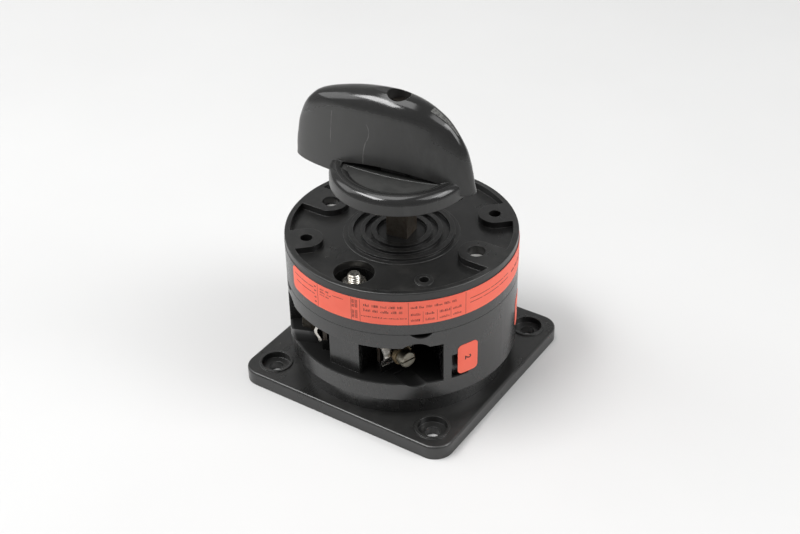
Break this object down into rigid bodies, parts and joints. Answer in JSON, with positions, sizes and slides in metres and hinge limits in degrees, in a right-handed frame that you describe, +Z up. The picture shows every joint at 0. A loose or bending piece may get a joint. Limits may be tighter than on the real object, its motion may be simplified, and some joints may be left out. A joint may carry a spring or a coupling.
{
  "type": "battery switch",
  "caption": "Base-mounted rotary cam battery switch with a wing knob on a square shaft, a round black housing with open terminal windows and a square mounting plate.",
  "frame": {"origin": "on the shaft axis at the underside of the mounting plate", "axes": "+Z up the shaft towards the knob; X and Y along the edges of the square plate, with the terminal windows facing -Y and +Y"},
  "size_m": [0.087, 0.087, 0.1108],
  "materials": {
    "plate_plastic": "semi-gloss black moulded plastic",
    "housing_plastic": "semi-gloss black moulded plastic",
    "cover_plastic": "fine-grained black moulded plastic",
    "shaft_steel": "browned square steel",
    "spring_steel": "spring steel",
    "nickel_steel": "nickel-plated steel",
    "cam_plastic": "natural moulded plastic",
    "hub_plastic": "black moulded plastic",
    "contact_copper": "tinned copper",
    "silver_tip": "silver alloy",
    "knob_plastic": "polished black moulded plastic",
    "inlay_plastic": "grained black plastic",
    "dark_steel": "blackened steel",
    "label_red": "coral red printed film"
  },
  "bodies": {
    "base": {"mounting_plate": "plate_plastic", "contact_housing": "housing_plastic", "latch_housing": "housing_plastic", "cover": "cover_plastic", "thrust_washer": "nickel_steel", "detent_springs": "spring_steel", "front_contact_spring": "spring_steel", "rear_contact_spring": "spring_steel", "fixed_contact_1": "contact_copper", "fixed_contact_2": "contact_copper", "fixed_contact_3": "contact_copper", "fixed_contact_4": "contact_copper", "fixed_contact_tips": "silver_tip", "terminal_screws": "nickel_steel", "terminal_washers": "nickel_steel", "terminal_clamps": "nickel_steel", "tie_bolts": "nickel_steel", "tie_nuts": "nickel_steel", "tie_washers": "nickel_steel", "cover_screws": "nickel_steel", "rating_label": "label_red", "terminal_tags": "label_red"},
    "rotor": {"shaft": "shaft_steel", "retaining_clip": "spring_steel", "switching_cam": "cam_plastic", "star_wheel": "hub_plastic", "stop_disc": "nickel_steel", "knob": "knob_plastic", "pointer_inlay": "inlay_plastic", "knob_screw": "dark_steel"},
    "front_carriage": {"front_plunger": "cam_plastic", "front_bridge": "contact_copper", "front_bridge_tips": "silver_tip"},
    "rear_carriage": {"rear_plunger": "cam_plastic", "rear_bridge": "contact_copper", "rear_bridge_tips": "silver_tip"}
  },
  "joints": [
    {"name": "knob_turn", "type": "hinge", "parent": "base", "child": "rotor", "pos_m": [0, 0, 0.03], "axis": [0, 0, 1], "range_deg": [-90, 0], "deforming": ["detent_springs"]},
    {"name": "front_contact_travel", "type": "slide", "parent": "base", "child": "front_carriage", "axis": [0, 1, 0], "range_m": [0, 0.0025], "deforming": ["front_contact_spring"]},
    {"name": "rear_contact_travel", "type": "slide", "parent": "base", "child": "rear_carriage", "axis": [0, -1, 0], "range_m": [0, 0.0025], "deforming": ["rear_contact_spring"]}
  ],
  "couplings": [
    {"joint": "front_contact_travel", "follows": "knob_turn", "m_per_rad": -0.0015915},
    {"joint": "rear_contact_travel", "follows": "knob_turn", "m_per_rad": -0.0015915}
  ]
}
